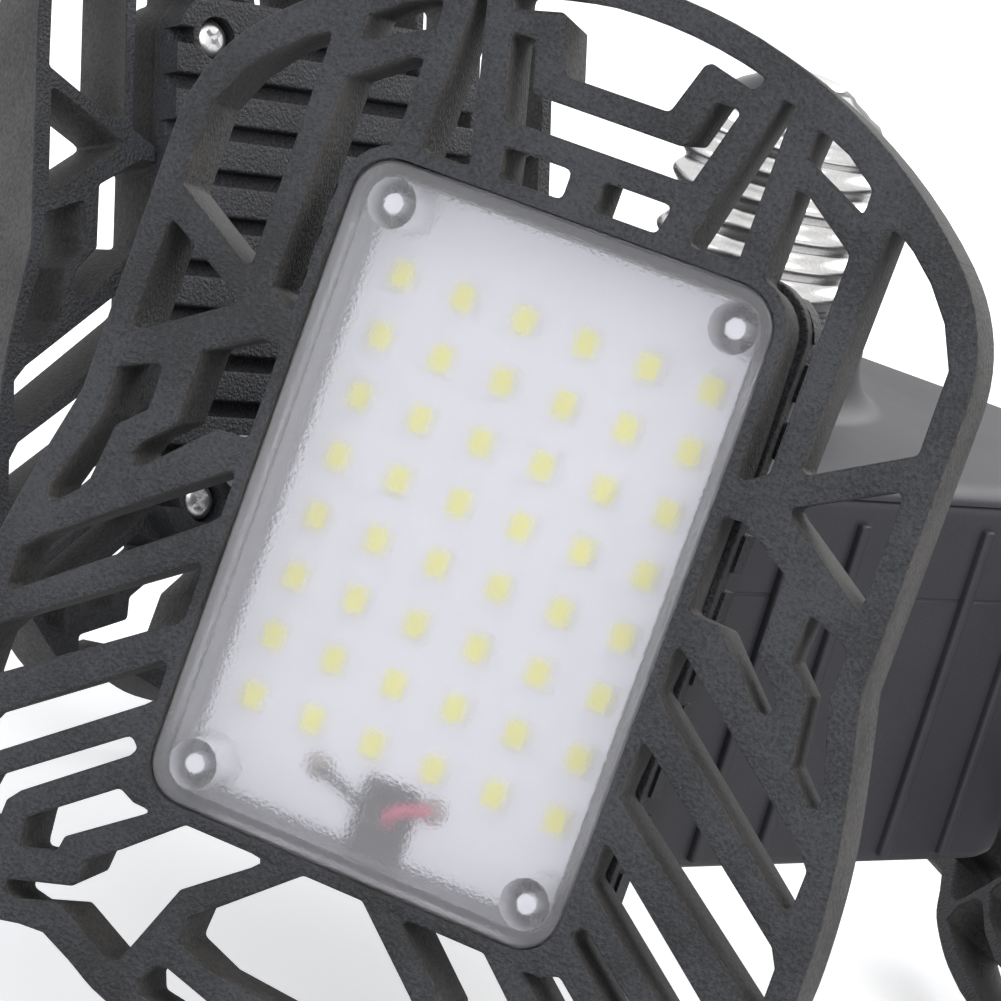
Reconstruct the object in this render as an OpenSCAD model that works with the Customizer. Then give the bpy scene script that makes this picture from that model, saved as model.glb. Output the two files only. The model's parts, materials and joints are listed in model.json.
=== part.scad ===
// Screw-in garage light with three hinged LED wings.
// Millimetres, +Z up. The origin is the tip of the cap's centre contact, and everything hangs below it.
// Wing a points along -Y, wing b to the back left and wing c to the back right.

/* [Screw cap] */
// Radius over the thread's crests
thread_r = 13.2; // [13:0.05:13.4]
// Depth from crest to root
thread_depth = 1.15; // [0.9:0.05:1.2]
// Distance between two crests
thread_pitch = 3.63; // [3.5:0.01:3.7]
// Number of crests
thread_turns = 7; // [5:1:7]
// Thickness of the shell's sheet
shell_t = 0.4; // [0.3:0.05:0.5]
// Length of the shell
shell_len = 24.8; // [24.6:0.1:27]
// Radius of the centre contact
contact_r = 4.8; // [4:0.1:5.2]
// Height of the centre contact
contact_h = 1; // [0.8:0.1:1.4]
// Height of the insulator's cone
insulator_h = 4; // [3.6:0.1:5]

/* [Housing] */
// Radius of the neck where it meets the shell
neck_r = 15.5; // [15:0.1:17]
// Radius of the neck's hollow foot, where it runs into the shoulder
shoulder_r = 21; // [20:0.5:24]
// Height of the neck above the shoulder
neck_h = 8.8; // [7:0.2:12]
// Rise of the shoulder towards the neck
shoulder_rise = 2.4; // [2:0.1:4]
// Height of the housing's body
body_h = 47.9; // [44:0.1:60]
// Distance from the axis to the ribbed flats
flat_in = 41.1; // [41:0.1:48]
// Distance from the axis to the short flats behind the wings
flat_out = 50; // [49:0.1:51]
// Radius of the housing's upright corners
corner_r = 12; // [10:0.5:14]
// Wall of the housing
wall = 2.5; // [2:0.1:3]
// Width of an outside rib
rib_w = 1.6; // [1:0.1:3]
// Height of an outside rib over the flat
rib_out = 1; // [0.6:0.1:2]
// Distance between two ribs
rib_pitch = 10.7; // [8:0.1:11]
// Distance from the parting line to the ribs
rib_gap = 2.8; // [2:0.1:6]
// Thickness of the bottom cover
cover_t = 2; // [1.6:0.1:2.2]

/* [Hinges] */
// Distance from the axis to the hinge bolts
hinge_r = 67.9; // [67:0.1:72]
// Height of the hinge bolts over the housing's bottom
hinge_up = 9; // [7.2:0.1:9]
// Radius of the hinge bolt
bolt_r = 2; // [1.5:0.1:2.2]
// Radius of the arm's knuckle
knuckle_r = 4.1; // [3.6:0.1:4.1]
// Width of the arm and its knuckle
arm_w = 18; // [14:0.5:19]
// Thickness of the arm
arm_t = 7; // [6:0.1:7.6]
// Thickness of a friction washer
washer_t = 0.6; // [0.4:0.1:1.2]
// Width of an ear on the wing
ear_w = 5; // [4:0.1:6]
// Wing a's angle above level
fold_a = 101; // [0:0.5:102]
// Wing b's angle above level
fold_b = 67.5; // [0:0.1:102]
// Wing c's angle above level
fold_c = 58; // [0:0.5:102]

/* [Wings] */
// Width of the wing at its straight sides
wing_w = 94; // [90:0.5:104]
// Distance from the lens's middle to the rounded tip
wing_tip = 63.4; // [61:0.1:70]
// Distance from the lens's middle to the lower end
wing_root = 62.7; // [61:0.1:66]
// Thickness of the lattice
lattice_t = 10.4; // [7:0.1:10.4]
// Width of the rim round the lattice
rim = 3.2; // [2.4:0.1:3.6]
// Radius in the corners of the openings
opening_r = 0.9; // [0.4:0.1:1.4]
// Distance along the wing from the hinge bolt to the lens's middle
lens_up = 27.3; // [27:0.1:34]
// Distance from the hinge bolt to the back of the fins
fins_off = 4.5; // [4.5:0.1:5]
// Height of the cooling fins
fin_h = 3; // [2:0.1:3.2]
// Gap between two fins
fin_gap = 2.2; // [1.4:0.1:3]
// Distance between two fins
fin_pitch = 6.5; // [5.5:0.1:8]
// How far the fins stand out of the tray's sides
fin_out = 0.5; // [0.2:0.1:0.8]
// Floor of the tray, over the fins
floor_t = 1.9; // [1.5:0.1:2.4]

/* [Lens and LED board] */
// Width of the lens
lens_w = 50; // [48:0.5:52]
// Length of the lens
lens_l = 74.5; // [73:0.5:78]
// Radius of the lens's corners
lens_r = 4.8; // [3:0.1:8]
// Thickness of the lens's face and skirt
lens_t = 1.6; // [1.2:0.1:2]
// Gap round the lens
lens_gap = 0.2; // [0.1:0.05:0.3]
// Wall of the tray round the lens
tray_wall = 1.3; // [1.2:0.1:1.8]
// How far the lens lies under the wing's face
lens_in = 0.4; // [0.2:0.1:1]
// Thickness of the LED board
board_t = 1.6; // [1:0.1:2]
// Width of the LED board under a lens 50 wide; it keeps its share of the lens
board_w = 46; // [44:0.5:46]
// Length of the LED board under a lens 74.5 long; it keeps its share of the lens
board_l = 70; // [68:0.5:70]
// Distance from the lens's edge to a corner screw, both ways
screw_in = 4.7; // [4.6:0.1:5]
// Radius of the lens's screw posts
post_r = 2.8; // [2.4:0.1:2.9]
// Columns of LEDs
led_cols = 6; // [4:1:6]
// Rows of LEDs
led_rows = 8; // [4:1:8]
// Distance between LED columns, under that lens
led_px = 7.35; // [6:0.05:7.4]
// Distance between LED rows, under that lens
led_py = 7.05; // [5:0.05:7.1]
// Width of one LED
led_w = 2.8; // [2:0.1:3.5]
// Length of one LED
led_l = 3.5; // [2.8:0.1:3.6]
// Height of one LED
led_h = 0.8; // [0.5:0.1:1.2]

/* [Driver] */
// Radius of the driver board
driver_r = 36; // [34:0.5:37]
// Height of the posts that carry the driver board
driver_up = 22; // [21:0.5:25]
// Radius of the electrolytic capacitor
can_r = 5; // [3:0.5:6]
// Length of the electrolytic capacitor
can_l = 20; // [12:1:22]
// Side of the transformer's core
core_w = 16; // [12:0.5:16]
// Height of the transformer
core_h = 11; // [8:0.5:12]
// Radius of a lead
lead_r = 0.6; // [0.4:0.05:0.7]

/* [Hidden] */
$fn = 48;

// Clearances
run = 0.05;       // a shaft in its bore, on the radius
side_play = 0.1;  // a washer beside its knuckle and its ear
seat = 0.1;       // a piece in its recess, each way
loose = 0.3;      // an arm in its window, each way
eps = 0.01;

// Heights, downwards from the contact's tip
shell_top = -contact_h - insulator_h;
neck_z = shell_top - shell_len;
parting_z = neck_z - neck_h - shoulder_rise;
bottom_z = parting_z - body_h;
hinge_z = bottom_z + hinge_up;
hub_t = 4;
hub_z = hinge_z - arm_t / 2;
post_top_z = hub_z + hub_t + driver_up;
thread_root = thread_r - thread_depth;
shell_in = thread_root - shell_t;
collar_t = 1.5;
collar_h = 14;

// Housing plan
hub_r = flat_in - wall - 2.8;
post_at = hub_r - 6;
post_out = 4;
pilot_r = 1.4;
cover_at = 20;
cover_pilot = 1.2;
SIDES = [60, 180, 300];
WINGS = [0, -120, 120];
FOLDS = [fold_a, fold_b, fold_c];

// Wing heights over the hinge bolt, along the wing's normal
floor_z = fins_off + fin_h;
board_z = floor_z + floor_t;
led_z = board_z + board_t;
face_z = led_z + 9;
lens_top = face_z - lens_in;
tray_w = lens_w + 2 * (lens_gap + tray_wall);
tray_l = lens_l + 2 * (lens_gap + tray_wall) + 0.1;
tray_r = lens_r + lens_gap + tray_wall;
post_x = lens_w / 2 - screw_in;
post_y = lens_l / 2 - screw_in;
screw_r = 1.05;
screw_head_r = 2.7;
screw_head_h = 1.5;
boss_r = 4;
boss_in = 2.3;
DRAWN_LENS = [50, 74.5];
lens_fit = [lens_w / DRAWN_LENS.x, lens_l / DRAWN_LENS.y];
board_size = [board_w * lens_fit.x, board_l * lens_fit.y];
led_step = [led_px * lens_fit.x, led_py * lens_fit.y];
led_up = 0.7;
lead_y = 5.6 * lens_fit.y - lens_l / 2;
lead_hole = 2.4;
knuckle_half = arm_w / 2;
ear_in = knuckle_half + washer_t + 2 * side_play;
ear_out = ear_in + ear_w;
ear_r = min(4.4, fins_off - 0.1);
nut_h = 3.2;
bolt_head_h = 2.4;

// The lattice was drawn round a tray 53 by 77.6; a drawn point keeps its share of the way
// from the tray's edge to the wing's edge when one of these sizes changes.
DRAWN = [26.5, 38.8];
DRAWN_EDGE = [47, 63.4, 62.7];
function outwards(v, drawn_in, drawn_out, real_in, real_out) =
    v <= drawn_in ? v * real_in / drawn_in
    : real_in + (v - drawn_in) * (real_out - real_in) / (drawn_out - drawn_in);
function fit_x(x) = sign(x) * outwards(abs(x), DRAWN.x, DRAWN_EDGE.x, tray_w / 2, wing_w / 2);
function fit_y(y) = y >= 0
    ? outwards(y, DRAWN.y, DRAWN_EDGE.y, tray_l / 2, wing_tip)
    : -outwards(-y, DRAWN.y, DRAWN_EDGE.z, tray_l / 2, wing_root);
function fitted(points) = [for (p = points) [fit_x(p.x), fit_y(p.y)]];

// Points along an arc, and an outline joined to its mirror image across x = 0
function arc(middle, r, from, to, n) =
    [for (i = [0:n]) middle + r * [cos(from + (to - from) * i / n), sin(from + (to - from) * i / n)]];
function both_sides(points) =
    concat(points, [for (i = [len(points) - 1:-1:0]) if (points[i].x > 0) [-points[i].x, points[i].y]]);

// An outline with its corners rounded to about r
function unit(v) = v / norm(v);
function rounded(points, r) = [
    for (i = [0:len(points) - 1])
    let (
        c = points[i],
        to_last = points[(i + len(points) - 1) % len(points)] - c,
        to_next = points[(i + 1) % len(points)] - c,
        half = acos(max(-1, min(1, unit(to_last) * unit(to_next)))) / 2,
        cut = min(r / tan(max(half, 5)), 0.45 * norm(to_last), 0.45 * norm(to_next))
    )
    for (s = half > 82 ? [0.5] : [0, 0.33, 0.67, 1])
    (1 - s) * (1 - s) * (c + cut * unit(to_last)) + 2 * s * (1 - s) * c + s * s * (c + cut * unit(to_next))
];

// Tip of the wing: one wide arc, run into the straight sides by a smaller one at each shoulder
TIP_R = 59;
TIP_MID = [0, 4.4];
TIP_CORNER_R = 20;
tip_corner = [27, 32.5];
tip_turn = atan2(tip_corner.y - TIP_MID.y, tip_corner.x);
function tip(inset) = concat(
    arc(tip_corner, TIP_CORNER_R - inset, 0, tip_turn, 6),
    arc(TIP_MID, TIP_R - inset, tip_turn, 90, 8)
);
LOWER_EDGE = [
    [10, -62.2], [20.5, -60.4], [26, -58], [30, -56.3], [33, -56.5], [37.3, -57.4], [39, -56.6],
    [41.5, -54], [46, -48], [49.3, -42], [51.2, -36], [51.7, -30], [51.4, -22], [50.6, -15],
    [49, -7.5], [47.6, -2], [47, 2]
];

// Openings of the right half; those that cross the middle follow
HALF_OPENINGS = [
    [[32.9, 48.2], [32.9, 21.2], [33.6, 20.9], [43.8, 26.8], [43.6, 36], [41.4, 40.4], [38.5, 43.8],
        [35.7, 46.3]],
    [[32.6, 16.8], [43.8, 22.9], [43.8, 9.4]],
    [[21.9, 51.9], [21.9, 55.2], [26, 53.5], [29.6, 50.9], [29.7, 47.8]],
    [[21.9, 48.4], [23.5, 48.1], [29.7, 43.8], [29.7, 19.6], [26.4, 17.4], [26.4, 38], [21.9, 38.7]],
    [[12.8, 39.1], [18.7, 39.1], [18.7, 56.6], [17.4, 56.6]],
    [[1.9, 39.1], [1.9, 42.4], [10, 42.4], [9.2, 39.1]],
    [[26.5, 13.8], [28.8, 13.9], [35, 10.3], [35.1, 1.6], [38.3, -1.6], [38.8, -3], [38.1, -4.1],
        [37.2, -4], [30.3, 2.9], [26.5, 3.1]],
    [[38.8, 7.6], [43.8, 5.4], [43.8, -0.3], [46.8, -9.8], [46.7, -11.2], [45.8, -11.3], [42.7, -8.2],
        [41.8, -0.8], [38.8, 2.1]],
    [[26.5, -0.2], [46.4, -15.8], [47.9, -17.6], [47.8, -21.8], [47, -22.2], [27.6, -7.1], [26.5, -6]],
    [[26.5, -11], [47.2, -26.3], [48.3, -28.3], [48.3, -32.6], [47.4, -33], [27.6, -18.9],
        [26.5, -17.9]],
    [[26.5, -22.5], [46.5, -37.8], [47.3, -39.5], [45.8, -42.3], [27.5, -28.3], [26.5, -27.3]],
    [[26.6, -33.2], [27.8, -32.1], [43.9, -44.2], [44.2, -46], [41.2, -50.3], [39.6, -50.6],
        [39.3, -44.2], [38, -42.6], [27.2, -34.2]],
    [[25, -38.9], [22.5, -39], [31.3, -45.4], [31.6, -47.2], [36.2, -48.5], [36.4, -45.2],
        [35.6, -44.6], [27, -38]],
    [[18.3, -38.9], [7.7, -38.9], [16.4, -45.7], [19.9, -54.4], [20.7, -55.8], [22.2, -55.9],
        [29.5, -52.4], [34.3, -54], [36, -53.7], [36.1, -52.4], [28.2, -50.1], [27.9, -46.8],
        [24.4, -44.2]]
];
MIDDLE_OPENINGS = [
    [[11, 45.2], [13.4, 53.8], [12.9, 54.2], [10.6, 54.2], [9, 48.6]],
    [[6.1, 51.6], [8, 57.4], [8.7, 57.9], [13.9, 56.6], [14.7, 62]],
    [[3.6, -38.9], [14.4, -48.3], [14.6, -51], [10, -52.7], [1, -53.5]],
    [[8, -56.2], [14.8, -54.3], [16.3, -54.8], [17.5, -57], [17, -58.2], [9, -59.3], [1, -59.6]]
];

// A round lead swept along its points, with one ring at each point
LEAD_SIDES = 8;
function heading(points, i) = unit(
    (i > 0 ? unit(points[i] - points[i - 1]) : [0, 0, 0])
    + (i < len(points) - 1 ? unit(points[i + 1] - points[i]) : [0, 0, 0])
);
module lead(points, r) {
    n = LEAD_SIDES;
    last = len(points) - 1;
    rings = [
        for (i = [0:last])
        let (h = heading(points, i), u = unit(cross(h, [1, -1, 0])), v = cross(h, u))
        for (k = [0:n - 1]) points[i] + r * (cos(360 * k / n) * u + sin(360 * k / n) * v)
    ];
    walls = [
        for (i = [0:last - 1], k = [0:n - 1])
        let (a = i * n + k, b = i * n + (k + 1) % n)
        for (face = [[a, a + n, b], [b, a + n, b + n]]) face
    ];
    ends = [
        for (k = [1:n - 2])
        for (face = [[0, k, k + 1], [last * n, last * n + k + 1, last * n + k]]) face
    ];
    polyhedron(rings, concat(walls, ends));
}

module rounded_rect(w, l, r) {
    square([w - 2 * r, l], center = true);
    square([w, l - 2 * r], center = true);
    for (x = [-1, 1], y = [-1, 1]) translate([x * (w / 2 - r), y * (l / 2 - r)]) circle(r);
}

// Plan of the housing: long flats between the wings and short flats behind them, with round corners.
// The middles of the round corners lie where the two inset flats cross.
corner_in = flat_in - corner_r;
corner_out = flat_out - corner_r;
corner_side = (corner_in - corner_out * cos(60)) / sin(60);
function turned(p, a) = [p.x * cos(a) - p.y * sin(a), p.x * sin(a) + p.y * cos(a)];
module housing_plan(inset) {
    r = corner_r - inset;
    polygon([
        for (a = WINGS)
        for (p = concat(
            arc([-corner_side, -corner_out], r, 210, 270, 8),
            arc([corner_side, -corner_out], r, 270, 330, 8)
        )) turned(p, -a)
    ]);
}

module at_sides(at) {
    for (a = SIDES) rotate(a) translate([0, -at]) children();
}

// ---- Screw cap ----

module screw_shell() {
    lowest = neck_z + thread_pitch / 2;
    crest = thread_depth * 0.98;
    color("lightgray") rotate_extrude($fn = 64) difference() {
        union() {
            translate([shell_in, neck_z]) square([shell_t, shell_len]);
            for (i = [0:thread_turns - 1]) translate([thread_root - 0.1, lowest - 0.6 + i * thread_pitch])
                polygon(concat(
                    [[0, -1.3], [0.1, -1.3]],
                    [for (s = [-60:20:60]) [0.1 + crest * cos(s * 1.5) * cos(s * 1.5), s / 50]],
                    [[0.1, 1.3], [0, 1.3]]
                ));
            translate([shell_in - 1.2, shell_top - shell_t]) square([1.2 + eps, shell_t]);
        }
    }
}

module shell_insulator() {
    color("#202022") difference() {
        union() {
            translate([0, 0, shell_top]) cylinder(r1 = shell_in - 0.6, r2 = contact_r + 0.6, h = insulator_h);
            translate([0, 0, shell_top - shell_t - 1.5])
                cylinder(r = shell_in - 1.2 - seat, h = 1.5 + shell_t + eps);
        }
        translate([0, 0, shell_top - 5]) cylinder(r = lead_r + seat, h = 5 + insulator_h + 1);
    }
}

module centre_contact() {
    color("silver") translate([0, 0, -contact_h]) {
        cylinder(r = contact_r, h = contact_h * 0.6);
        translate([0, 0, contact_h * 0.6])
            cylinder(r1 = contact_r, r2 = contact_r * 0.7, h = contact_h * 0.4);
    }
}

// ---- Housing ----

// Half section from the shoulder's edge up the hollow foot and the neck to the collar inside the shell
foot_h = shoulder_rise + neck_h;
foot_lean = 1.2;
edge_h = 1.6;
shoulder_edge = flat_in - 4;
top_section = concat(
    [[0, 0.4], [shoulder_edge, 0.4], [shoulder_edge, edge_h], [shoulder_r, shoulder_rise]],
    [for (s = [0.15:0.15:0.9]) [
        shoulder_r - (shoulder_r - neck_r - foot_lean) * sin(s * 90),
        shoulder_rise + (neck_h - 2.2) * (1 - cos(s * 90))
    ]],
    [
        [neck_r + foot_lean, foot_h - 2.2], [neck_r, foot_h], [shell_in - seat, foot_h],
        [shell_in - seat, foot_h + collar_h], [0, foot_h + collar_h]
    ]
);
hollow_section = [
    [0, -1], [shoulder_r - 3.5, -1], [shoulder_r - 3.5, shoulder_rise - 0.4],
    [shell_in - collar_t - seat, shoulder_rise + 4], [shell_in - collar_t - seat, foot_h + collar_h + 1],
    [0, foot_h + collar_h + 1]
];

module housing_top() {
    lip_in = wall + seat;
    color("#34363a") translate([0, 0, parting_z]) {
        difference() {
            union() {
                linear_extrude(1.2) housing_plan(0.3);
                translate([0, 0, 1]) linear_extrude(0.8) housing_plan(1.2);
                rotate_extrude($fn = 96) polygon(top_section);
            }
            rotate_extrude($fn = 96) polygon(hollow_section);
        }
        translate([0, 0, -2]) linear_extrude(2.4) difference() {
            housing_plan(lip_in);
            housing_plan(lip_in + 1.5);
        }
    }
}

module arm_window() {
    for (a = WINGS) rotate(a) translate([0, -flat_out, hinge_z])
        cube([arm_w + 2 * loose, 4 * wall, arm_t + 2 * loose], center = true);
}

module housing_body() {
    rib_len = body_h - rib_gap - 1.5;
    color("#303236") {
        difference() {
            translate([0, 0, bottom_z]) linear_extrude(body_h - seat) difference() {
                housing_plan(0);
                housing_plan(wall);
            }
            arm_window();
        }
        for (a = SIDES) rotate(a) {
            for (i = [-2:2])
                translate([i * rib_pitch - rib_w / 2, -flat_in - rib_out, parting_z - rib_gap - rib_len])
                    cube([rib_w, rib_out + wall / 2, rib_len]);
            difference() {
                union() {
                    translate([0, -post_at, hub_z + hub_t]) cylinder(r = post_out, h = driver_up);
                    translate([-1.5, -flat_in + wall / 2, hub_z + hub_t])
                        cube([3, flat_in - wall / 2 - post_at - post_out + 0.5, driver_up]);
                }
                translate([0, -post_at, hub_z]) cylinder(r = pilot_r, h = driver_up + 10);
            }
        }
    }
}

module hinge_base() {
    color("#3c3e42") difference() {
        union() {
            translate([0, 0, hub_z]) cylinder(r = hub_r, h = hub_t);
            for (a = WINGS) rotate(a) {
                translate([-arm_w / 2, -hinge_r, hub_z]) cube([arm_w, hinge_r - 14, arm_t]);
                translate([-arm_w / 2, -hinge_r, hinge_z]) rotate([0, 90, 0])
                    cylinder(r = knuckle_r, h = arm_w);
            }
        }
        for (a = WINGS) rotate(a) {
            translate([-arm_w, -hinge_r, hinge_z]) rotate([0, 90, 0])
                cylinder(r = bolt_r + run, h = 2 * arm_w);
            translate([-lead_hole, -hinge_r + 7, hinge_z + arm_t / 2 - 3])
                cube([2 * lead_hole, hinge_r - 7 - 12, 4]);
        }
        translate([0, 0, hub_z - 1]) cylinder(r = 14.5, h = arm_t + 2);
        at_sides(post_at) translate([0, 0, hub_z - 1]) cylinder(r = pilot_r + seat, h = hub_t + 2);
        at_sides(cover_at) translate([0, 0, hub_z - 1]) cylinder(r = cover_pilot, h = hub_t + 2);
    }
}

cover_head_r = 2.4;
cover_head_h = 1.1;
boss_up = hub_z - bottom_z - cover_t;
module bottom_cover() {
    color("#2c2e31") difference() {
        translate([0, 0, bottom_z]) {
            linear_extrude(cover_t) housing_plan(wall + seat);
            at_sides(cover_at) cylinder(r = 4, h = cover_t + boss_up);
        }
        at_sides(cover_at) {
            translate([0, 0, bottom_z - 1]) cylinder(r = cover_pilot + seat, h = 10);
            translate([0, 0, bottom_z - 1]) cylinder(r = cover_head_r + 0.2, h = 1 + cover_head_h);
        }
    }
}

// A pan head screw, pointing up from the underside of its head
module screw(head_r, head_h, r, length) {
    translate([0, 0, -head_h]) difference() {
        cylinder(r = head_r, h = head_h, $fn = 32);
        for (a = [0, 90]) rotate(a) translate([-head_r * 0.6, -0.3, -eps])
            cube([head_r * 1.2, 0.6, head_h * 0.45]);
    }
    translate([0, 0, -eps]) cylinder(r = r, h = length + eps, $fn = 32);
}

module cover_screws() {
    reach = hub_z + hub_t - bottom_z - cover_head_h - 1;
    color("gainsboro") at_sides(cover_at) translate([0, 0, bottom_z + cover_head_h])
        screw(cover_head_r, cover_head_h - 0.1, cover_pilot - run, reach);
}

module base_screws() {
    color("gainsboro") at_sides(post_at) translate([0, 0, hub_z])
        screw(2.8, min(1.8, boss_up - 0.1), pilot_r - run, hub_t + 8);
}

module driver_screws() {
    color("gainsboro") at_sides(post_at) translate([0, 0, post_top_z + board_t]) mirror([0, 0, 1])
        screw(2.6, 1.8, pilot_r - run, board_t + 6);
}

// ---- Driver ----

driver_z = post_top_z + board_t;
module driver_board() {
    color("#2f6b45") difference() {
        translate([0, 0, post_top_z]) cylinder(r = driver_r, h = board_t);
        at_sides(post_at) translate([0, 0, post_top_z - 1]) cylinder(r = pilot_r + seat, h = board_t + 2);
    }
}

module electrolytic_capacitor() {
    color("#26282c") translate([0, 0, driver_z]) {
        cylinder(r = can_r, h = can_l - 1);
        cylinder(r = can_r - 0.6, h = can_l);
    }
}

module transformer() {
    color("#c9b23a") translate([-6 - can_r - core_w / 2, 0, driver_z]) {
        translate([-core_w / 2, -core_w / 2, 0]) cube([core_w, core_w, core_h * 0.3]);
        translate([-core_w / 2, -core_w / 2, core_h * 0.7]) cube([core_w, core_w, core_h * 0.3]);
        cylinder(r = core_w * 0.42, h = core_h);
    }
}

module film_capacitor() {
    color("#8a2f2a") translate([can_r + 6, -8, driver_z]) cube([6, 14, 10]);
}

module rectifier() {
    color("#1d1e20") translate([can_r + 15, -4, driver_z]) cube([3, 9, 8]);
}

// One lead to the centre contact and one to the shell
module supply_leads() {
    start = [0, can_r + 3.5, driver_z];
    turn = [start.x, start.y, neck_z + 4];
    color("firebrick") lead([start, turn, [0, 0, shell_top - 4], [0, 0, -contact_h]], lead_r);
}

// ---- Wings ----

// Puts a piece that is modelled flat, with the hinge bolt along X and the tip along +Y, in its place
module on_wing(i) {
    rotate(WINGS[i]) translate([0, -hinge_r, hinge_z]) rotate([180 - FOLDS[i], 0, 0]) children();
}

// From the hinge bolt to the lens's middle, at a height over the bolt
module at_lens(z) {
    translate([0, lens_up, z]) children();
}

module wing_outline() {
    polygon(both_sides(concat([[0, -wing_root]], fitted(LOWER_EDGE), fitted(tip(0)))));
}

module inside_rim() {
    side = [wing_w / 2 - rim, fit_y(LOWER_EDGE[len(LOWER_EDGE) - 1].y)];
    polygon(both_sides(concat([[0, -wing_root]], fitted(LOWER_EDGE), [side], fitted(tip(rim)))));
}

module openings() {
    intersection() {
        union() {
            for (points = HALF_OPENINGS) for (s = [0, 1]) mirror([s, 0])
                polygon(rounded(fitted(points), opening_r));
            for (points = MIDDLE_OPENINGS) polygon(rounded(fitted(both_sides(points)), opening_r));
        }
        inside_rim();
    }
}

module lattice() {
    difference() {
        wing_outline();
        openings();
        rounded_rect(tray_w - 2, tray_l - 2, tray_r - 1);
    }
}

module fins() {
    count = floor((tray_l + fin_gap) / fin_pitch);
    intersection() {
        rounded_rect(tray_w + 2 * fin_out, tray_l, tray_r);
        for (i = [0:count - 1]) translate([0, (i - (count - 1) / 2) * fin_pitch])
            square([tray_w + 2, fin_pitch - fin_gap], center = true);
    }
}

module at_corners() {
    for (x = [-1, 1], y = [-1, 1]) translate([x * post_x, y * post_y]) children();
}

module ear() {
    rotate([0, 90, 0]) cylinder(r = ear_r, h = ear_w);
    translate([0, -ear_r, 0]) cube([ear_w, 2 * ear_r, fins_off + 1]);
}

module wing_frame() {
    color("#47494d") difference() {
        union() {
            at_lens(face_z - lattice_t) linear_extrude(lattice_t) lattice();
            at_lens(floor_z) linear_extrude(face_z - floor_z) rounded_rect(tray_w, tray_l, tray_r);
            at_lens(fins_off) {
                linear_extrude(fin_h + eps) fins();
                at_corners() cylinder(r = boss_r, h = fin_h + 1);
            }
            translate([-ear_out - 2, -ear_r - 2, fins_off]) cube([2 * ear_out + 4, 2 * ear_r + 4, fin_h + 1]);
            for (s = [0, 1]) mirror([s, 0, 0]) translate([ear_in, 0, 0]) ear();
        }
        at_lens(board_z) linear_extrude(20)
            rounded_rect(lens_w + 2 * lens_gap, lens_l + 2 * lens_gap, lens_r + lens_gap);
        at_lens(fins_off - 1) at_corners() {
            cylinder(r = screw_r + seat, h = 20);
            cylinder(r = screw_head_r + 0.4, h = 1 + boss_in);
        }
        at_lens(fins_off - 1) translate([0, lead_y]) cylinder(r = lead_hole + seat, h = 20);
        translate([-2 * ear_out, 0, 0]) rotate([0, 90, 0]) cylinder(r = bolt_r + run, h = 4 * ear_out);
    }
}

notch_w = 7;
module led_board() {
    color("whitesmoke") at_lens(board_z) difference() {
        linear_extrude(board_t) rounded_rect(board_size.x, board_size.y, 2);
        at_corners() translate([0, 0, -1]) cylinder(r = post_r + 2 * seat, h = board_t + 2);
        for (x = [-1, 1], y = [-1, 1]) translate([x * (post_x + 5), y * (post_y + 5), 0])
            cube([10 + eps, 10 + eps, 8], center = true);
        translate([-notch_w / 2, -board_size.y / 2 - 1, -1])
            cube([notch_w, 1 + board_size.y / 2 + lead_y + 4.6, board_t + 2]);
    }
}

module leds() {
    first = [-(led_cols - 1) / 2 * led_step.x - led_w / 2, -(led_rows - 1) / 2 * led_step.y - led_l / 2];
    color("#efe9b0") at_lens(led_z)
        for (i = [0:led_cols - 1], j = [0:led_rows - 1])
            translate([first.x + i * led_step.x, first.y + j * led_step.y + led_up, 0])
                cube([led_w, led_l, led_h]);
}

module lens() {
    inner_w = lens_w - 2 * lens_t;
    inner_l = lens_l - 2 * lens_t;
    skirt_z = led_z + 0.4;
    color("#e6e6ee") at_lens(0) difference() {
        union() {
            difference() {
                translate([0, 0, skirt_z]) linear_extrude(lens_top - skirt_z)
                    rounded_rect(lens_w, lens_l, lens_r);
                translate([0, 0, skirt_z - 1]) linear_extrude(lens_top - skirt_z - lens_t + 1)
                    rounded_rect(inner_w, inner_l, lens_r - lens_t);
            }
            at_corners() translate([0, 0, board_z])
                cylinder(r = post_r, h = lens_top - lens_t - board_z + eps);
        }
        at_corners() translate([0, 0, board_z - 1]) cylinder(r = screw_r + run, h = 6.5);
    }
}

module lens_screws() {
    color("gainsboro") at_lens(fins_off + boss_in) at_corners()
        screw(screw_head_r, screw_head_h, screw_r, board_z - fins_off - boss_in + 5);
}

module hinge_bolt() {
    shank = 2 * ear_out + nut_h + 1.2;
    color("silver") translate([-ear_out, 0, 0]) rotate([0, 90, 0]) {
        translate([0, 0, -bolt_head_h]) difference() {
            cylinder(r = 3.6, h = bolt_head_h);
            translate([0, 0, -eps]) cylinder(r = 1.5, h = 1.4, $fn = 6);
        }
        translate([0, 0, -eps]) cylinder(r = bolt_r, h = shank);
    }
}

module hinge_nut() {
    color("silver") translate([ear_out, 0, 0]) rotate([0, 90, 0]) difference() {
        cylinder(r = 4, h = nut_h, $fn = 6);
        translate([0, 0, -1]) cylinder(r = bolt_r + run, h = nut_h + 2);
    }
}

module friction_washers() {
    color("#b8b4a8") for (s = [0, 1]) mirror([s, 0, 0])
        translate([knuckle_half + side_play, 0, 0]) rotate([0, 90, 0]) difference() {
            cylinder(r = knuckle_r - 0.3, h = washer_t);
            translate([0, 0, -1]) cylinder(r = bolt_r + run, h = washer_t + 2);
        }
}

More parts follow.
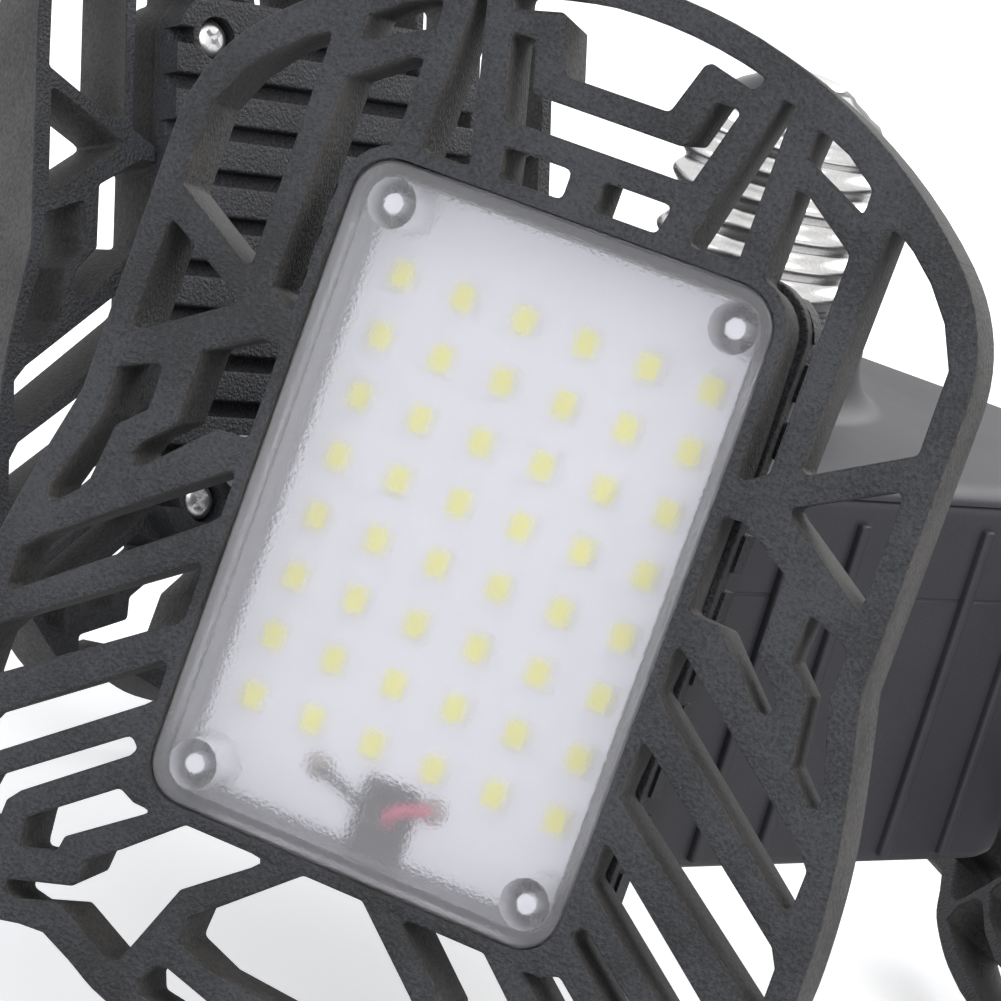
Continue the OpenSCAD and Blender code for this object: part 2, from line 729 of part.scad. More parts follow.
// Two leads come up through the grommet and end in the board's two solder joints
SOLDER = [[5.1, 3.3], [-8.8, 3]];
module board_leads() {
    up = board_z + 3.4;
    color("#c8323c") at_lens(0) for (i = [0, 1]) {
        s = i == 0 ? 1 : -1;
        joint = [SOLDER[i].x, lead_y + SOLDER[i].y];
        lead([
            [s * 0.8, lead_y, fins_off + 0.3], [s * 0.8, lead_y, up - 0.6], [s * 2.4, lead_y + 0.6, up],
            [joint.x, joint.y, led_z + lead_r]
        ], lead_r);
        translate([joint.x, joint.y, led_z]) cylinder(r1 = 1.5, r2 = 0.9, h = 1);
    }
}

module lead_grommet() {
    color("#1c1c1e") at_lens(0) translate([0, lead_y, 0]) difference() {
        union() {
            translate([0, 0, fins_off + 0.2]) cylinder(r = lead_hole, h = board_z - fins_off);
            translate([0, 0, board_z]) cylinder(r = lead_hole + 0.7, h = 1);
        }
        translate([0, 0, fins_off - 1]) for (s = [-1, 1]) translate([s * 0.8, 0, 0])
            cylinder(r = lead_r + seat / 2, h = 10);
    }
}

screw_shell();
shell_insulator();
centre_contact();
housing_top();
housing_body();
hinge_base();
bottom_cover();
driver_board();
electrolytic_capacitor();
transformer();
film_capacitor();
rectifier();
supply_leads();
driver_screws();
base_screws();
cover_screws();
for (i = [0:2]) {
    w = ["a", "b", "c"][i];
    on_wing(i) wing_frame();
    on_wing(i) led_board();
    on_wing(i) leds();
    on_wing(i) lens();
    on_wing(i) lens_screws();
    on_wing(i) hinge_bolt();
    on_wing(i) hinge_nut();
    on_wing(i) friction_washers();
    on_wing(i) board_leads();
    on_wing(i) lead_grommet();
}
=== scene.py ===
"""A folding garage light: three cast lattice wings round a ribbed driver housing on a screw cap."""
import json
import math

import bmesh
import bpy
from mathutils import Matrix, Vector


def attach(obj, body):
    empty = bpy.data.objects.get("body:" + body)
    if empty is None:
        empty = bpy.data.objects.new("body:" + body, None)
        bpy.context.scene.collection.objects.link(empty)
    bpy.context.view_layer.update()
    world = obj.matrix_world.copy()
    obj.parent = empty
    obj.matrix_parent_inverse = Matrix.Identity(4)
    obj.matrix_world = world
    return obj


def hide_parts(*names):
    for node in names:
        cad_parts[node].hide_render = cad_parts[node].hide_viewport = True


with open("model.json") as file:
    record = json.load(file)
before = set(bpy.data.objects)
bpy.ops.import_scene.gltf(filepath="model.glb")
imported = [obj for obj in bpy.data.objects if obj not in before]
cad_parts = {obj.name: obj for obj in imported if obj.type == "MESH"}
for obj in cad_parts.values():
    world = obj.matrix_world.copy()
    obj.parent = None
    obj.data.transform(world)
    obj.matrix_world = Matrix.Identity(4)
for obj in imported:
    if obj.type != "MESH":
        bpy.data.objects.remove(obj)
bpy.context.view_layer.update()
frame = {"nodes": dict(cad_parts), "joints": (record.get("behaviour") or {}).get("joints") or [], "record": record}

MM = 0.001
WINGS = ["a", "b", "c"]
CORNERS = [(x, y) for x in (-1, 1) for y in (-1, 1)]
ALONG_X = Matrix.Rotation(math.pi / 2, 4, "Y")

# Camera of the photograph: a long lens, close to wing a and turned about its own axis
CAMERA_PLACE = Vector((0.119955, -0.440987, 0.060551))
CAMERA_RIGHT = Vector((0.8909, 0.3629, 0.2732))
CAMERA_BACK = Vector((0.2947, -0.9195, 0.2601))
CAMERA_LENS = 132.4
CAMERA_SHIFT = (-0.0155, -0.0065)
FLOOR_Z = -0.125

# Housing, in millimetres, and degrees about z, with the tip of the cap's contact at height zero
TURNS = (0, -120, 120)
SIDES = (60, 180, 300)
PARTING = -41.0
BODY_LINE = -53.2
BODY_BOTTOM = -88.9
FLAT_IN = 41.1
FLAT_OUT = 50.0
CORNER_R = 12.0
WALL = 2.5
RIB_W = 1.6
RIB_OUT = 1.0
RIB_SINK = 0.3
RIB_PITCH = 10.7
RIB_TOP = PARTING - 2.8
RIB_BOTTOM = BODY_BOTTOM + 1.5
SHOULDER_R = 21.0
NECK_R = 15.5
NECK_H = 11.2
WELL_R = 17.5
SLEEVE_R = 11.55
SLEEVE_BORE_R = 10.05
SLEEVE_H = 14.0
DRIVER_Z = -57.4
DRIVER_POST_R = 4.0
DRIVER_POST_AT = 29.8
COVER_T = 2.0
COVER_BOSS_R = 4.0
COVER_BOSS_AT = 20.0

# Cap: a crest of its thread is at height THREAD_PHASE on the side that faces THREAD_FACING degrees
SHELL_TOP = -5.0
SHELL_BOTTOM = -29.8
SHELL_SHEET = 0.4
THREAD_R = 13.2
THREAD_DEPTH = 1.15
THREAD_PITCH = 3.63
THREAD_PHASE = -11.27
THREAD_FACING = -75.0

# Hinges: the hub and its arms are in the housing, the ears are on the wings
HINGE_Z = -79.9
HINGE_R = 67.9
HUB_R = 35.8
HUB_BORE_R = 14.5
HUB_Z = -83.4
HUB_T = 4.0
ARM_W = 18.0
ARM_T = 7.0
ARM_START = 16.0
KNUCKLE_R = 4.1
EAR_IN = 9.8
EAR_W = 5.0
EAR_R = 4.4
EAR_BORE_R = 2.1
BOLT_R = 2.0
BOLT_BORE_R = 2.05
BOLT_HEAD_R = 3.6
BOLT_HEAD_H = 2.4
NUT_R = 4.0
NUT_T = 3.2

# Wing, flat, with the hinge bolt along x, the tip towards y and the light towards z
LENS_UP = 27.3
FINS = 4.5
FLOOR = 7.5
BOARD = 9.4
LEDS = 11.0
LATTICE_BACK = 9.6
FACE = 20.0
DRAFT = 0.85
RIM = 3.2
TIP_R = 59.0
TIP_MID = (0.0, 4.4)
TIP_CORNER = (27.0, 32.5)
TIP_CORNER_R = 20.0
TIP_TURN = math.degrees(math.atan2(TIP_CORNER[1] - TIP_MID[1], TIP_CORNER[0]))
TRAY_W = 53.0
TRAY_L = 77.6
TRAY_R = 6.3
FIN_PITCH = 6.5
FIN_GAP = 2.2
POCKET_W = 50.4
POCKET_L = 74.8
LENS_TOP = 19.6
LENS_W = 50.0
LENS_L = 74.5
LENS_R = 4.8
LENS_WALL = 1.6
POST = (20.3, 32.55)
POST_R = 2.8
BOSS_R = 4.0
SCREW_SEAT = 2.3
SCREW_SEAT_R = 3.1
SCREW_HEAD = (2.7, 1.5)
SCREW_SHANK = (1.0, 6.6)
SCREW_PITCH = 0.8
BOARD_W = 46.0
BOARD_L = 70.0
LED_GRID = (6, 8)
LED_PITCH = (7.35, 7.05)
LED_UP = 0.7
LED_SIZE = (2.8, 3.5, 0.8)
LED_GLOW = (2.3, 2.9)
LEAD_Y = -31.65
LEAD_HOLE_R = 2.5


# ---- Making and finishing pieces ----

def shift(x, y, z):
    """A move in millimetres."""
    return Matrix.Translation((x * MM, y * MM, z * MM))


def about_z(degrees):
    return Matrix.Rotation(math.radians(degrees), 4, "Z")


def clear_selection():
    if bpy.context.object and bpy.context.object.mode != "OBJECT":
        bpy.ops.object.mode_set(mode="OBJECT")
    bpy.ops.object.select_all(action="DESELECT")


def pick(*objects):
    clear_selection()
    for o in objects:
        o.select_set(True)
    bpy.context.view_layer.objects.active = objects[0]


def new_object(name, data):
    o = bpy.data.objects.new(name, data)
    bpy.context.scene.collection.objects.link(o)
    return o


def joined(objects, name):
    pick(*objects)
    bpy.ops.object.join()
    o = bpy.context.object
    o.name = name
    return o


def settle(o):
    """Puts the object's place, turn and size into its mesh."""
    pick(o)
    bpy.ops.object.transform_apply(location=True, rotation=True, scale=True)
    return o


def apply_modifiers(o):
    pick(o)
    for m in list(o.modifiers):
        bpy.ops.object.modifier_apply(modifier=m.name)
    return o


def chamfer(o, width):
    m = o.modifiers.new("edges", "BEVEL")
    m.width = width * MM
    m.segments = 1
    return apply_modifiers(o)


def smooth(o, angle):
    pick(o)
    bpy.ops.object.shade_smooth_by_angle(angle=math.radians(angle))
    return o


def edit(o):
    pick(o)
    bpy.ops.object.mode_set(mode="EDIT")
    bpy.ops.mesh.select_all(action="SELECT")


def weld(o):
    """Joins the points that meet, turns the faces outwards and leaves edit mode."""
    bpy.ops.mesh.select_all(action="SELECT")
    bpy.ops.mesh.remove_doubles(threshold=0.001 * MM)
    bpy.ops.mesh.normals_make_consistent(inside=False)
    bpy.ops.object.mode_set(mode="OBJECT")
    return o


def combine(o, other, operation):
    """Adds, cuts or crosses another closed shape, and removes that shape."""
    m = o.modifiers.new("combine", "BOOLEAN")
    m.operation = operation
    m.solver = "EXACT"
    m.object = other
    apply_modifiers(o)
    bpy.data.objects.remove(other)
    return o


def add(o, *others):
    for other in others:
        combine(o, other, "UNION")
    return o


def cut(o, *others):
    for other in others:
        combine(o, other, "DIFFERENCE")
    return o


def copied(o, place):
    c = o.copy()
    c.data = o.data.copy()
    bpy.context.scene.collection.objects.link(c)
    c.data.transform(place)
    return c


def box(size, middle):
    bpy.ops.mesh.primitive_cube_add(size=1, location=[v * MM for v in middle])
    o = bpy.context.object
    o.scale = [v * MM for v in size]
    return settle(o)


def rod(r, low, high, at=(0, 0), sides=48, r_top=None):
    """An upright cylinder or cone between two heights."""
    bpy.ops.mesh.primitive_cone_add(
        vertices=sides,
        radius1=r * MM,
        radius2=(r if r_top is None else r_top) * MM,
        depth=(high - low) * MM,
        location=(at[0] * MM, at[1] * MM, (low + high) / 2 * MM),
    )
    return settle(bpy.context.object)


def turned(section, name, steps=96):
    """A shape turned about Z from a section of (radius, height) points."""
    mesh = bpy.data.meshes.new(name)
    o = new_object(name, mesh)
    points = [(r * MM, 0, z * MM) for r, z in section]
    edges = [(i, i + 1) for i in range(len(points) - 1)]
    mesh.from_pydata(points, edges, [])
    edit(o)
    bpy.ops.mesh.spin(steps=steps, angle=2 * math.pi, center=(0, 0, 0), axis=(0, 0, 1))
    return weld(o)


def closed_shape(bm, name):
    """An object of the faces in bm, turned outwards."""
    bmesh.ops.recalc_face_normals(bm, faces=bm.faces)
    mesh = bpy.data.meshes.new(name)
    bm.to_mesh(mesh)
    bm.free()
    return new_object(name, mesh)


def layered(outer, holes, layers, hole_layers, name, corner=0.0):
    """A plate with walls, from layers of (height, inset) for its outline and for its holes, face first.

    A positive inset takes material away, at the outline or round a hole. The corner rounds the holes.
    """
    bm = bmesh.new()
    caps = {0: [], -1: []}
    for loop, is_hole in [(outer, False)] + [(h, True) for h in holes]:
        loop = counter_clockwise(loop)
        steps = hole_layers if is_hole else layers
        rings = []
        for height, inset in steps:
            points = offset_loop(loop, inset if is_hole else -inset)
            if is_hole and corner:
                points = rounded(points, corner, like=loop)
            rings.append([bm.verts.new((x * MM, y * MM, height * MM)) for x, y in points])
        for upper, lower in zip(rings, rings[1:]):
            for i in range(len(upper)):
                bm.faces.new((upper[i - 1], upper[i], lower[i], lower[i - 1]))
        for end in caps:
            ring = rings[end]
            caps[end] += [bm.edges.get((ring[i - 1], ring[i])) for i in range(len(ring))]
    for edges in caps.values():
        bmesh.ops.triangle_fill(bm, use_beauty=True, use_dissolve=False, edges=edges)
    return closed_shape(bm, name)


def edges_of(low, high, edge):
    """Layers of a plate whose two rims are rounded by edge."""
    bend = [(1 - math.cos(math.radians(a)), 1 - math.sin(math.radians(a))) for a in (0, 30, 60, 90)]
    return [(high - edge * up, edge * side) for up, side in bend] + [
        (low + edge * up, edge * side) for up, side in reversed(bend)
    ]


def plate(outer, holes, low, high, name, edge):
    steps = edges_of(low, high, edge)
    return layered(outer, holes, steps, steps, name)


def round_bar(r, low, high, at=(0, 0), edge=0.3):
    return plate(circle(at, r, 40), [], low, high, "round_bar", edge)


def finish_piece(o, node, body):
    """Names the piece after the CAD node that it replaces, and gives it its body."""
    o.name = node + "_look"
    o.data.name = node + "_look"
    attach(o, body)
    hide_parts(node)


def finish_in_housing(o, node, slot, angle):
    o.data.materials.append(PAINTS[slot])
    smooth(o, angle)
    finish_piece(o, node, "housing")


# ---- Outlines ----

def arc(middle, r, start, end, steps):
    return [
        (
            middle[0] + r * math.cos(math.radians(start + (end - start) * i / steps)),
            middle[1] + r * math.sin(math.radians(start + (end - start) * i / steps)),
        )
        for i in range(steps + 1)
    ]


def circle(middle, r, sides=32):
    return arc(middle, r, 0, 360, sides)[:-1]


def round_box(w, l, r, steps=8):
    loop = []
    for x, y, start in ((1, 1, 0), (-1, 1, 90), (-1, -1, 180), (1, -1, 270)):
        loop += arc((x * (w / 2 - r), y * (l / 2 - r)), r, start, start + 90, steps)
    return loop


def flipped(points):
    return [(-x, y) for x, y in reversed(points)]


def mirrored(points):
    """The points and their mirror image across x = 0, as one loop."""
    return points + [(-x, y) for x, y in reversed(points) if x > 0.001]


def counter_clockwise(loop):
    twice_area = sum(loop[i - 1][0] * loop[i][1] - loop[i][0] * loop[i - 1][1] for i in range(len(loop)))
    return loop if twice_area > 0 else loop[::-1]


def offset_loop(loop, d):
    """A counter-clockwise loop moved outwards by d, or inwards where d is negative."""
    moved = []
    count = len(loop)
    for i, (x, y) in enumerate(loop):
        x0, y0 = loop[i - 1]
        x1, y1 = loop[(i + 1) % count]
        first = Vector((y - y0, x0 - x)).normalized()
        second = Vector((y1 - y, x - x1)).normalized()
        normal = first + second
        # The mitre is held back where a corner is sharper than a right angle
        reach = d / max(0.5, (1 + first.dot(second)) / 2) / 2
        moved.append((x + normal.x * reach, y + normal.y * reach))
    return moved


def sharp_corners(points):
    """Which corners turn by 16 degrees or more, and so aren't points along a curve."""
    count = len(points)
    sharp = []
    for i in range(count):
        back = Vector(points[i - 1]) - Vector(points[i])
        ahead = Vector(points[(i + 1) % count]) - Vector(points[i])
        sharp.append(back.angle(ahead) / 2 <= math.radians(82))
    return sharp


def rounded(points, r, like=None):
    """The loop with each sharp corner rounded to about r; like is a loop that says which are sharp."""
    loop = []
    count = len(points)
    steps = 3
    for i, is_sharp in enumerate(sharp_corners(like or points)):
        c = Vector(points[i])
        if not is_sharp:
            loop.append(tuple(c))
            continue
        back = Vector(points[i - 1]) - c
        ahead = Vector(points[(i + 1) % count]) - c
        half = back.angle(ahead) / 2
        room = min(r / math.tan(half), 0.45 * back.length, 0.45 * ahead.length)
        a = c + back.normalized() * room
        b = c + ahead.normalized() * room
        for k in range(steps + 1):
            s = k / steps
            loop.append(tuple((1 - s) ** 2 * a + 2 * s * (1 - s) * c + s * s * b))
    return loop


def curved(points, steps=4):
    """A smooth line through the points."""
    line = []
    for i in range(len(points) - 1):
        p0 = Vector(points[max(i - 1, 0)])
        p1 = Vector(points[i])
        p2 = Vector(points[i + 1])
        p3 = Vector(points[min(i + 2, len(points) - 1)])
        for k in range(steps):
            t = k / steps
            line.append(tuple(0.5 * (
                2 * p1 + (p2 - p0) * t
                + (2 * p0 - 5 * p1 + 4 * p2 - p3) * t * t
                + (3 * p1 - p0 - 3 * p2 + p3) * t ** 3
            )))
    line.append(points[-1])
    return line


def tip(inset, start=0.0):
    """Points round the right half of the wing's tip, counter-clockwise from an angle to the middle."""
    points = []
    if start < TIP_TURN:
        points = arc(TIP_CORNER, TIP_CORNER_R - inset, start, TIP_TURN, 10)
        start = TIP_TURN
    return points + arc(TIP_MID, TIP_R - inset, start, 90, int((90 - start) / 3))


def wing_outline():
    foot = [(0, -62.7), (10, -62.2), (20.5, -60.4), (26, -58), (30, -56.3)]
    notch = [(30, -56.3), (33, -56.5), (37.3, -57.4)]
    low = [(37.3, -57.4), (39, -56.6), (41.5, -54), (46, -48), (49.3, -42), (51.2, -36)]
    side = [(51.2, -36), (51.7, -30), (51.4, -22), (50.6, -15), (49.1, -7.5), (47, 1.6)]
    top = tip(0)[:-1] + [(0, 63.4)]
    return mirrored(curved(foot)[:-1] + notch[:-1] + curved(low)[:-1] + curved(side) + top)


HALF_OPENINGS = [
    [
        (32.9, 48.2), (32.9, 21.2), (33.6, 20.9), (43.8, 26.8), (43.7, 36), (41.6, 40.4), (38.8, 43.8),
        (35.9, 46.3),
    ],
    [(32.6, 16.8), (43.8, 22.9), (43.8, 9.4)],
    [(21.9, 51.9), (21.9, 55.2), (26, 53.5), (29.6, 50.9), (29.7, 47.8)],
    [(12.8, 39.1), (18.7, 39.1), (18.7, 56.6), (17.4, 56.6)],
    [(1.9, 39.1), (1.9, 42.4), (10, 42.4), (9.2, 39.1)],
    [
        (26.5, 13.8), (28.8, 13.9), (35, 10.3), (35.1, 1.6), (38.3, -1.6), (38.8, -3), (38.1, -4.1),
        (37.2, -4), (30.3, 2.9), (26.5, 3.1),
    ],
    [
        (38.8, 7.6), (43.8, 5.4), (43.8, -0.3), (46.8, -9.8), (46.7, -11.2), (45.8, -11.3),
        (42.7, -8.2), (41.8, -0.8), (38.8, 2.1),
    ],
    [(26.5, -0.2), (46.4, -15.8), (47.9, -17.6), (47.8, -21.8), (47, -22.2), (27.6, -7.1), (26.5, -6)],
    [
        (26.5, -11), (47.2, -26.3), (48.3, -28.3), (48.3, -32.6), (47.4, -33), (27.6, -18.9),
        (26.5, -17.9),
    ],
    [(26.5, -22.5), (46.5, -37.8), (47.3, -39.5), (45.8, -42.3), (27.5, -28.3), (26.5, -27.3)],
    [
        (26.6, -33.2), (27.8, -32.1), (43.9, -44.2), (44.2, -46), (41.2, -50.3), (39.6, -50.6),
        (39.3, -44.2), (38, -42.6), (27.2, -34.2),
    ],
    [
        (25, -38.9), (22.5, -39), (31.3, -45.4), (31.6, -47.2), (36.2, -48.5), (36.4, -45.2),
        (35.6, -44.6), (27, -38),
    ],
    [
        (18.3, -38.9), (7.7, -38.9), (16.4, -45.7), (19.9, -54.4), (20.7, -55.8), (22.2, -55.9),
        (29.5, -52.4), (34.3, -54), (36, -53.7), (36.1, -52.4), (28.2, -50.1), (27.9, -46.8),
        (24.4, -44.2),
    ],
]
MIDDLE_OPENINGS = [
    [(11, 45.2), (13.4, 53.8), (12.9, 54.2), (10.6, 54.2), (9, 48.6)],
    [(3.6, -38.9), (14.4, -48.3), (14.6, -51), (10, -52.7), (0, -53.5)],
    [
        (0, -57), (8, -56.2), (14.8, -54.3), (16.3, -54.8), (17.5, -57), (17, -58.2), (9, -59.3),
        (0, -59.6),
    ],
]


def wing_openings():
    """The loops of the right half, their mirror images, and the loops across the middle."""
    tray_corner = arc((TRAY_W / 2 - TRAY_R, TRAY_L / 2 - TRAY_R), TRAY_R, 0, 74, 6)
    beside_tray = [(TRAY_W / 2, 17.4)] + tray_corner
    beside_tray += [(21.9, 48.4), (23.5, 48.1), (29.7, 43.8), (29.7, 19.6)]
    loops = []
    for loop in HALF_OPENINGS + [beside_tray]:
        loops += [loop, flipped(loop)]
    bow = [(6.1, 51.6), (8, 57.4), (8.7, 57.9), (13.9, 56.6), (14.5, 57.4)]
    bow += tip(RIM, math.degrees(math.acos(14.7 / (TIP_R - RIM))))
    return loops + [mirrored(loop) for loop in MIDDLE_OPENINGS + [bow]]


def housing_plan(inset, steps=10):
    """Plan of the housing: long ribbed flats, short flats behind the wings, round corners between them."""
    inner = FLAT_IN - CORNER_R
    outer = FLAT_OUT - CORNER_R
    side = (inner - outer / 2) / math.sin(math.radians(60))
    loop = []
    for turn in TURNS:
        corner = arc((-side, -outer), CORNER_R - inset, 210, 270, steps)
        corner += arc((side, -outer), CORNER_R - inset, 270, 330, steps)
        c, s = math.cos(math.radians(-turn)), math.sin(math.radians(-turn))
        loop += [(x * c - y * s, x * s + y * c) for x, y in corner]
    return loop


# ---- Camera, light and floor ----

def add_camera():
    data = bpy.data.cameras.new("camera")
    camera = new_object("camera", data)
    up = CAMERA_BACK.cross(CAMERA_RIGHT)
    turn = Matrix((CAMERA_RIGHT, up, CAMERA_BACK)).transposed().to_4x4()
    camera.matrix_world = Matrix.Translation(CAMERA_PLACE) @ turn
    data.sensor_width = 36
    data.lens = CAMERA_LENS
    data.shift_x, data.shift_y = CAMERA_SHIFT
    data.clip_start = 0.01
    data.clip_end = 60
    bpy.context.scene.camera = camera
    bpy.context.scene.view_settings.view_transform = "Standard"


def add_softbox(name, place, size, power, colour=(1, 1, 1)):
    """A lamp that faces the middle of the light."""
    data = bpy.data.lights.new(name, "AREA")
    data.shape = "RECTANGLE"
    data.size, data.size_y = size
    data.energy = power
    data.color = colour
    lamp = new_object(name, data)
    aim = Vector((0, -0.03, -0.06))
    lamp.location = place
    lamp.rotation_mode = "QUATERNION"
    lamp.rotation_quaternion = (Vector(place) - aim).to_track_quat("Z", "Y")


def add_studio():
    """Soft light all round, and plain white for what the camera sees, straight, mirrored or through."""
    world = bpy.data.worlds.new("studio")
    bpy.context.scene.world = world
    world.use_nodes = True
    nodes, links = world.node_tree.nodes, world.node_tree.links
    nodes.clear()
    path = nodes.new("ShaderNodeLightPath")
    mix = nodes.new("ShaderNodeMixShader")
    chosen = path.outputs["Is Camera Ray"]
    for kind in ("Is Glossy Ray", "Is Transmission Ray"):
        either = nodes.new("ShaderNodeMath")
        either.operation = "MAXIMUM"
        links.new(chosen, either.inputs[0])
        links.new(path.outputs[kind], either.inputs[1])
        chosen = either.outputs[0]
    links.new(chosen, mix.inputs[0])
    for socket, colour, strength in ((1, (0.9, 0.93, 1.0, 1), 0.55), (2, (1, 1, 1, 1), 1.0)):
        shade = nodes.new("ShaderNodeBackground")
        shade.inputs["Color"].default_value = colour
        shade.inputs["Strength"].default_value = strength
        links.new(shade.outputs[0], mix.inputs[socket])
    out = nodes.new("ShaderNodeOutputWorld")
    links.new(mix.outputs[0], out.inputs["Surface"])
    add_softbox("key_softbox", (0.55, -0.75, 0.75), (0.8, 0.8), 11, (1.0, 0.98, 0.95))
    add_softbox("left_softbox", (-0.9, -0.7, 0.15), (0.9, 0.9), 6, (0.93, 0.96, 1.0))
    add_softbox("back_softbox", (0.35, 0.9, 0.7), (0.9, 0.6), 9)


def new_paint(name):
    """A material, with its nodes, its links and its shader."""
    paint = bpy.data.materials.new(name)
    paint.use_nodes = True
    nodes, links = paint.node_tree.nodes, paint.node_tree.links
    return paint, nodes, links, nodes["Principled BSDF"]


def add_floor():
    """A floor so wide that no view sees its edge, and that glows a little to the camera alone."""
    bpy.ops.mesh.primitive_plane_add(size=30, location=(0, 0, FLOOR_Z))
    floor = bpy.context.object
    floor.name = "floor"
    paint, nodes, links, shader = new_paint("studio_floor")
    shader.inputs["Base Color"].default_value = (0.93, 0.925, 0.92, 1)
    shader.inputs["Roughness"].default_value = 0.75
    shader.inputs["Emission Color"].default_value = (1, 1, 1, 1)
    path = nodes.new("ShaderNodeLightPath")
    glow = nodes.new("ShaderNodeMath")
    glow.operation = "MULTIPLY"
    glow.inputs[1].default_value = 0.44
    links.new(path.outputs["Is Camera Ray"], glow.inputs[0])
    links.new(glow.outputs[0], shader.inputs["Emission Strength"])
    floor.data.materials.append(paint)


# ---- Finishes ----

def finish(name, colour, roughness, metallic=0.0, grain=0.0, grain_size=0.4, depth=0.1, shade=0.12,
           specular=0.5):
    """A finish whose colour, roughness and bump follow noise, its grain's size and depth in millimetres."""
    paint, nodes, links, shader = new_paint(name)
    shader.inputs["Metallic"].default_value = metallic
    shader.inputs["Specular IOR Level"].default_value = specular
    place = nodes.new("ShaderNodeTexCoord")
    fine = nodes.new("ShaderNodeTexNoise")
    fine.inputs["Scale"].default_value = 1 / (grain_size * MM)
    fine.inputs["Detail"].default_value = 2.0
    fine.inputs["Roughness"].default_value = 0.55
    wide = nodes.new("ShaderNodeTexNoise")
    wide.inputs["Scale"].default_value = 1 / (14 * MM)
    wide.inputs["Detail"].default_value = 4.0
    links.new(place.outputs["Object"], fine.inputs["Vector"])
    links.new(place.outputs["Object"], wide.inputs["Vector"])
    blend = nodes.new("ShaderNodeMath")
    blend.operation = "ADD"
    links.new(fine.outputs["Fac"], blend.inputs[0])
    links.new(wide.outputs["Fac"], blend.inputs[1])
    ramp = nodes.new("ShaderNodeMapRange")
    ramp.inputs["From Min"].default_value = 0.82
    ramp.inputs["From Max"].default_value = 1.18
    links.new(blend.outputs[0], ramp.inputs["Value"])
    tint = nodes.new("ShaderNodeMix")
    tint.data_type = "RGBA"
    tint.inputs[6].default_value = (*[c * (1 - shade) for c in colour], 1)
    tint.inputs[7].default_value = (*[min(1, c * (1 + shade)) for c in colour], 1)
    links.new(ramp.outputs["Result"], tint.inputs[0])
    links.new(tint.outputs[2], shader.inputs["Base Color"])
    spread = 0.08
    sheen = nodes.new("ShaderNodeMapRange")
    sheen.inputs["To Min"].default_value = roughness - spread
    sheen.inputs["To Max"].default_value = roughness + spread
    links.new(wide.outputs["Fac"], sheen.inputs["Value"])
    links.new(sheen.outputs["Result"], shader.inputs["Roughness"])
    if grain:
        bump = nodes.new("ShaderNodeBump")
        bump.inputs["Strength"].default_value = grain
        bump.inputs["Distance"].default_value = depth * MM
        links.new(fine.outputs["Fac"], bump.inputs["Height"])
        links.new(bump.outputs["Normal"], shader.inputs["Normal"])
    return paint


def frosted_lens():
    """Clear plastic with an etched face: it passes light and blurs what lies under it."""
    paint, nodes, links, shader = new_paint("frosted_lens")
    shader.inputs["Base Color"].default_value = (0.93, 0.93, 0.97, 1)
    shader.inputs["Roughness"].default_value = 0.27
    shader.inputs["IOR"].default_value = 1.45
    shader.inputs["Transmission Weight"].default_value = 0.92
    place = nodes.new("ShaderNodeTexCoord")
    etch = nodes.new("ShaderNodeTexNoise")
    etch.inputs["Scale"].default_value = 1 / (0.45 * MM)
    etch.inputs["Detail"].default_value = 1.0
    bump = nodes.new("ShaderNodeBump")
    bump.inputs["Strength"].default_value = 0.7
    bump.inputs["Distance"].default_value = 0.09 * MM
    links.new(place.outputs["Object"], etch.inputs["Vector"])
    links.new(etch.outputs["Fac"], bump.inputs["Height"])
    links.new(bump.outputs["Normal"], shader.inputs["Normal"])
    return paint


